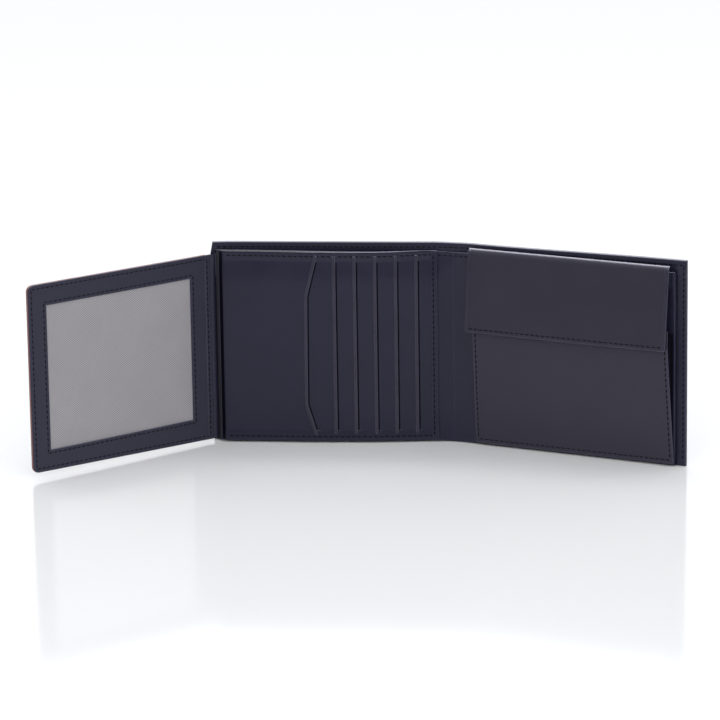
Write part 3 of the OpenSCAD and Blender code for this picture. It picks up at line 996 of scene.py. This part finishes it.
def hinge_strip():
    """Soft leather from between the flap's faces round into the wall."""
    to_middle = MIDDLE.inverted() @ WINDOW
    in_flap = [to_middle @ Vector((along, back, 0))
               for along, back in ((7.5, 1.95), (4.0, 1.95), (1.6, 1.9), (0.6, 1.8))]
    in_wall = [(-0.95, -0.55), (-0.6, 0.0), (-0.3, 0.45), (0.3, 0.6)]
    plan = [(p.x, p.y) for p in in_flap] + in_wall
    bm = bmesh.new()
    verts = [bm.verts.new((x, y, STRIP_Z0)) for x, y in plan]
    edges = [bm.edges.new(pair) for pair in zip(verts, verts[1:])]
    made = bmesh.ops.extrude_edge_only(bm, edges=edges)
    raised = [v for v in made["geom"] if isinstance(v, bmesh.types.BMVert)]
    bmesh.ops.translate(bm, verts=raised, vec=(0, 0, STRIP_H))
    bmesh.ops.recalc_face_normals(bm, faces=bm.faces)
    bmesh.ops.solidify(bm, geom=bm.faces[:], thickness=0.45)
    return finished("window_hinge_strip", bm, MIDDLE, [LEATHER], 60)


strip = hinge_strip()
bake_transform(strip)
stands_for(strip, "leather", "id_hinge_strip", "id_hinge_anchor")

# ---------------------------------------------------------------- coin pouch
POUCH_X0, POUCH_X1, POUCH_Z0, POUCH_Z1 = 4.1, 103.9, 1.2, 64.0
on_cover(cut_leather("pouch_front_leather",
                     box_points(POUCH_X0, POUCH_Z0, POUCH_X1, POUCH_Z1), 0.0, 0.75,
                     COVER, POUCH, swollen, corners=(0, 1), radius=1.2, soft=0.3,
                     rim=0.5, step=(6, 4)), "leather_pouch", "pouch_front")
piece = cut_leather("pouch_front_cloth",
                    box_points(POUCH_X0 + 2, POUCH_Z0 + 2, POUCH_X1 - 2, POUCH_Z1 - 0.6),
                    0.75, 0.98, COVER, LINING_COVER, swollen, soft=0.05, rim=0,
                    step=(6, 4))
on_cover(piece, "lining_cloth", "pouch_front_lining")
declare_sheet(piece, POUCH_X1 - POUCH_X0 - 4, POUCH_Z1 - POUCH_Z0 - 2.6,
              "pouch_front_leather")
FOOT = [(-WALL_N, 1.0), (-WALL_N, 2.6), (-3.2, 2.6), (-3.2, 1.0)]
on_cover(drawn("pouch_foot_strip", FOOT, POUCH_X0 + 0.5, POUCH_X1 - 0.5, COVER, TRIM,
               soft=0.1), "leather", "pouch_bottom_seam")


def gusset(name, edge, inward, node):
    """Bellows between the wall and the pouch front, folded inwards, in near-black leather that
    paints the shade of the recess.
    """
    bm = bmesh.new()
    bmesh.ops.create_grid(bm, x_segments=8, y_segments=14, size=0.5)
    layer = bm.verts.layers.float.new("rim")
    for v in bm.verts:
        v[layer] = 0.0
        t, h = v.co.x + 0.5, v.co.y + 0.5
        z = 2.0 + (POUCH_Z1 - 3.0) * h
        near, far = pouch_depth(edge, z) - 0.7, WALL_N + 0.02
        fold = (1 - abs(2 * t - 1)) ** 0.8
        v.co = (edge + inward * fold * (2.0 + 4.5 * h), -(far + (near - far) * t), z)
    bmesh.ops.recalc_face_normals(bm, faces=bm.faces)
    bmesh.ops.solidify(bm, geom=bm.faces[:], thickness=0.35)
    return on_cover(finished(name, bm, COVER, [SHADE_LEATHER], 60), "lining_cloth", node)


gusset("pouch_bellows_left", POUCH_X0 + 0.9, 1, "pouch_gusset_left")
gusset("pouch_bellows_right", POUCH_X1 - 0.9, -1, "pouch_gusset_right")
ROW_X0, ROW_X1 = POUCH_X0 + 1.6, POUCH_X1 - 1.6
on_cover(stitches("stitches_pouch",
                  row((ROW_X0, 4), (ROW_X0, POUCH_Z1 - 1))
                  + row((ROW_X1, 4), (ROW_X1, POUCH_Z1 - 1))
                  + row((ROW_X0, 3.2), (ROW_X1, 3.2)),
                  0.0, COVER, swollen), "leather_pouch")

FLAP_X0, FLAP_X1, EDGE_W = 1.3, 101.6, 1.7
on_cover(cut_leather("coin_flap_leather", box_points(FLAP_X0, 0, FLAP_X1, FLAP_END), 0.0,
                     0.8, COVER, POUCH, folded, corners=(0, 1), radius=1.6, soft=0.3,
                     rim=0.5, step=(7, 1.2)), "leather_pouch", "flap_leather",
         body="coin_flap")
# Lighter strips along the coin flap's side edges: painted highlight on the turned edges.
for label, x0 in (("left", FLAP_X0 - 0.05), ("right", FLAP_X1 + 0.05 - EDGE_W)):
    on_cover(cut_leather("flap_edge_" + label,
                         box_points(x0, 0.5, x0 + EDGE_W, FLAP_END - 1.6), -0.3, 0.15, COVER,
                         EDGE_HIGHLIGHT_LEATHER, folded, soft=0.24, rim=0.12, step=(3, 1.2)),
             "leather_pouch", body="coin_flap")
piece = cut_leather("coin_flap_cloth", box_points(FLAP_X0 + 1, 1, FLAP_X1 - 1, FLAP_END - 1.5),
                    0.8, 1.1, COVER, LINING_COVER, folded, soft=0.05, rim=0,
                    step=(7, 1.2))
on_cover(piece, "lining_cloth", "flap_lining", body="coin_flap")
declare_sheet(piece, FLAP_X1 - FLAP_X0 - 2, FLAP_END - 2.5, "coin_flap_leather")
on_cover(stitches("stitches_coin_flap",
                  row((FLAP_X0 + 1.8, 1.9), (FLAP_X1 - 1.8, 1.9)), 0.0, COVER, folded),
         "leather_pouch", body="coin_flap")
on_cover(cut_leather("flap_tongue_leather", box_points(FLAP_X0, 84.5, FLAP_X1, 92.0),
                     -3.3, -WALL_N, COVER, LEATHER, rim=0.3), "leather", "flap_tongue")


MAGNET_X, MAGNET_R, MAGNET_T = 51.9, 5, 0.6


def magnet(name, up, depth, warp, body, node):
    """A thin round magnet between leather and lining."""
    bm = bmesh.new()
    bmesh.ops.create_cone(bm, cap_ends=True, segments=48, radius1=MAGNET_R,
                          radius2=MAGNET_R, depth=MAGNET_T,
                          matrix=Matrix.Rotation(math.pi / 2, 4, "X"))
    rims = [e for e in bm.edges if e.calc_face_angle(0) > 0.8]
    soften(bm, rims, 0.12, 2)
    bmesh.ops.translate(bm, verts=bm.verts, vec=(MAGNET_X, depth, up))
    for v in bm.verts:
        v.co = warp(v.co)
    on_cover(finished(name, bm, COVER, [STEEL]), "magnet", node, body=body)


magnet("magnet_in_pouch", 56.3, 0.42, swollen, "cover", "pouch_magnet")
magnet("magnet_in_flap", 7.5, 0.46, folded, "coin_flap", "flap_magnet")

# ---------------------------------------------------------------- studio
TARGET = Vector((67.5241, 0.0, 39.8236))  # what the camera looks at, in MIDDLE's lengths
PITCH, YAW, ROLL, DISTANCE = 0.2526, -0.0793, -0.0147, 1976.86
ahead = Vector((math.sin(YAW) * math.cos(PITCH), math.cos(YAW) * math.cos(PITCH),
                -math.sin(PITCH)))
right = Vector((math.cos(YAW), -math.sin(YAW), 0))
up = right.cross(ahead)
right, up = (right * math.cos(ROLL) + up * math.sin(ROLL),
             up * math.cos(ROLL) - right * math.sin(ROLL))
camera = bpy.data.objects.new("camera", bpy.data.cameras.new("camera"))
bpy.context.scene.collection.objects.link(camera)
camera.data.lens = 210
camera.data.sensor_width = 36
camera.data.clip_start, camera.data.clip_end = 0.05, 50
spot = MIDDLE @ (TARGET - ahead * DISTANCE)
camera.matrix_world = Matrix((
    (right.x, up.x, -ahead.x, spot.x),
    (right.y, up.y, -ahead.y, spot.y),
    (right.z, up.z, -ahead.z, spot.z),
    (0, 0, 0, 1),
))
bpy.context.scene.camera = camera


def floor():
    bm = bmesh.new()
    bmesh.ops.create_grid(bm, x_segments=1, y_segments=1, size=15.0)
    f = Finish("pale_floor", Roughness=0.10, IOR=1.6)
    tint = f.noise(0.6, 1, 0.5)
    f.feed(Base_Color=f.mix(tint, (0.70, 0.70, 0.70, 1), (0.71, 0.71, 0.71, 1)))
    piece = finished("studio_floor", bm, Matrix(), [f.material])


def soft_light(name, where, aim, size, power):
    lamp = bpy.data.objects.new(name, bpy.data.lights.new(name, "AREA"))
    lamp.data.shape = "RECTANGLE"
    lamp.data.size, lamp.data.size_y = size
    lamp.data.energy = power
    lamp.location = where
    way = Vector(aim) - Vector(where)
    lamp.rotation_euler = way.to_track_quat("-Z", "Y").to_euler()
    bpy.context.scene.collection.objects.link(lamp)
    return lamp


floor()
soft_light("overhead_softbox", (0.05, 0.5, 1.4), (0, 0, 0.05), (2.0, 0.3), 6)
fill = soft_light("front_softbox", (-0.1, -1.7, 0.9), (0, 0, 0), (2.4, 0.9), 24)
fill.visible_glossy = False  # it lifts the shadow without shining in the leather
gloss = soft_light("gloss_softbox", (0.05, 0.2, 1.5), (0, 0, 0.05), (2.4, 1.7), 175)
gloss.visible_diffuse = False  # it shows only as a shine along the top edges
soft_light("right_softbox", (1.7, -0.9, 0.9), (-0.05, 0, 0.05), (0.9, 1.0), 6)
bpy.context.scene.view_settings.view_transform = "Standard"


def studio_air():
    """Bright behind and above the object, dim at the height of the camera."""
    world = bpy.data.worlds.new("studio_air")
    bpy.context.scene.world = world
    world.use_nodes = True
    tree = world.node_tree
    here = tree.nodes.new("ShaderNodeTexCoord")
    aim = tree.nodes.new("ShaderNodeVectorMath")
    aim.operation = "DOT_PRODUCT"
    aim.inputs[1].default_value = (0, 1, 1.2)
    fade = tree.nodes.new("ShaderNodeMapRange")
    fade.interpolation_type = "SMOOTHSTEP"
    fade.inputs["From Min"].default_value = -0.95
    fade.inputs["From Max"].default_value = 0.15
    fade.inputs["To Min"].default_value = 0.12
    fade.inputs["To Max"].default_value = 1.15
    tree.links.new(here.outputs["Generated"], aim.inputs[0])
    tree.links.new(aim.outputs["Value"], fade.inputs["Value"])
    air = tree.nodes["Background"]
    air.inputs["Color"].default_value = (0.955, 0.97, 1.0, 1)
    tree.links.new(fade.outputs[0], air.inputs["Strength"])


studio_air()
